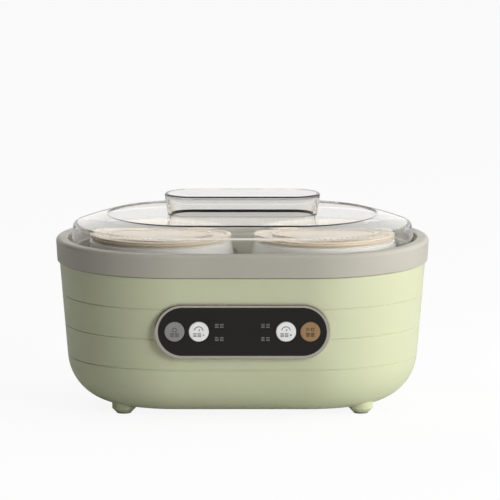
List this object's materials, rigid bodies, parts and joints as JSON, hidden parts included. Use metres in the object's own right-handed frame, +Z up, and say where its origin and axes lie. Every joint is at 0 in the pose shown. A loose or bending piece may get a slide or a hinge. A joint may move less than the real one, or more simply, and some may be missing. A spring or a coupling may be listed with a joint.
{
  "type": "yogurt maker",
  "caption": "Oblong countertop yogurt maker with a clear lift-off cover over lidded jars in a heated tub, a grey rim and a push-button panel on the front.",
  "frame": {"origin": "on the table under the middle of the casing", "axes": "+Z up, +X along the casing's long side, the control panel faces -Y"},
  "size_m": [0.2796, 0.1796, 0.161],
  "materials": {
    "casing_green": "satin moulded plastic, pale sage green",
    "rim_grey": "satin moulded plastic, warm grey",
    "tub_grey": "moulded plastic, taupe grey",
    "clear_cover": "clear moulded acrylic",
    "jar_white": "white glazed stoneware",
    "lid_cream": "satin cream plastic",
    "seal_rubber": "translucent silicone",
    "foot_rubber": "grey-green rubber",
    "bezel_silver": "satin champagne-grey lacquer",
    "window_black": "black gloss plastic",
    "key_grey": "grey plastic key",
    "key_white": "white plastic key",
    "key_bronze": "bronze lacquered key",
    "aluminium": "rolled sheet",
    "steel": "zinc plated screws and clips",
    "brass": "plated brass pins",
    "board_green": "circuit board with solder mask",
    "part_black": "black moulded component",
    "part_clear": "clear moulded light guide",
    "heater_orange": "silicone heating mat",
    "lead_white": "insulated wire",
    "wool": "fibre insulation"
  },
  "bodies": {
    "base": {"outer_casing": "casing_green", "rim_ring": "rim_grey", "rim_seal": "seal_rubber", "inner_tub": "tub_grey", "insulation_wrap": "wool", "base_cover": "casing_green", "foot_pads": "foot_rubber", "base_screws": "steel", "heater_plate": "aluminium", "plate_seal": "seal_rubber", "plate_screws": "steel", "temperature_sensor": "aluminium", "sensor_clip": "steel", "thermal_fuse": "part_black", "fuse_clip": "steel", "power_board": "board_green", "power_board_screws": "steel", "transformer": "part_black", "relay": "part_black", "capacitor": "part_black", "power_sockets": "lead_white", "inlet_leads": "lead_white", "heater_leads": "lead_white", "power_inlet": "part_black", "inlet_pins": "brass", "inlet_screws": "steel", "panel_bezel": "bezel_silver", "panel_window": "window_black", "board_carrier": "part_black", "control_board": "board_green", "board_screws": "steel", "switch_bodies": "part_black", "led_display": "part_black", "light_guides": "part_clear", "indicator_leds": "lead_white", "ribbon_plug": "lead_white", "ribbon_cable": "lead_white", "heater_mat_left": "heater_orange", "heater_mat_right": "heater_orange"},
    "cover": {"cover_dome": "clear_cover", "cover_handle": "clear_cover"},
    "left_jar": {"jar_left": "jar_white"},
    "right_jar": {"jar_right": "jar_white"},
    "left_lid": {"jar_lid_left": "lid_cream", "jar_seal_left": "seal_rubber"},
    "right_lid": {"jar_lid_right": "lid_cream", "jar_seal_right": "seal_rubber"},
    "menu_key": {"menu_button": "key_grey", "menu_plunger": "part_black"},
    "time_down_key": {"time_down_button": "key_white", "time_down_plunger": "part_black"},
    "time_up_key": {"time_up_button": "key_white", "time_up_plunger": "part_black"},
    "start_key": {"start_button": "key_bronze", "start_plunger": "part_black"}
  },
  "joints": [
    {"name": "cover_lift", "type": "slide", "parent": "base", "child": "cover", "axis": [0, 0, 1], "range_m": [0, 0.3]},
    {"name": "left_jar_lift", "type": "slide", "parent": "base", "child": "left_jar", "axis": [0, 0, 1], "range_m": [0, 0.121]},
    {"name": "left_lid_lift", "type": "slide", "parent": "left_jar", "child": "left_lid", "axis": [0, 0, 1], "range_m": [0, 0.049]},
    {"name": "right_jar_lift", "type": "slide", "parent": "base", "child": "right_jar", "axis": [0, 0, 1], "range_m": [0, 0.121]},
    {"name": "right_lid_lift", "type": "slide", "parent": "right_jar", "child": "right_lid", "axis": [0, 0, 1], "range_m": [0, 0.049]},
    {"name": "menu_press", "type": "slide", "parent": "base", "child": "menu_key", "axis": [0, 1, 0], "range_m": [0, 0.0008], "stiffness_N_per_m": 800},
    {"name": "time_down_press", "type": "slide", "parent": "base", "child": "time_down_key", "axis": [0, 1, 0], "range_m": [0, 0.0008], "stiffness_N_per_m": 800},
    {"name": "time_up_press", "type": "slide", "parent": "base", "child": "time_up_key", "axis": [0, 1, 0], "range_m": [0, 0.0008], "stiffness_N_per_m": 800},
    {"name": "start_press", "type": "slide", "parent": "base", "child": "start_key", "axis": [0, 1, 0], "range_m": [0, 0.0008], "stiffness_N_per_m": 800}
  ],
  "couplings": [
    {"joint": "left_jar_lift", "follows": "cover_lift", "ratio": 0.4},
    {"joint": "left_lid_lift", "follows": "cover_lift", "ratio": 0.16},
    {"joint": "right_jar_lift", "follows": "cover_lift", "ratio": 0.4},
    {"joint": "right_lid_lift", "follows": "cover_lift", "ratio": 0.16}
  ]
}
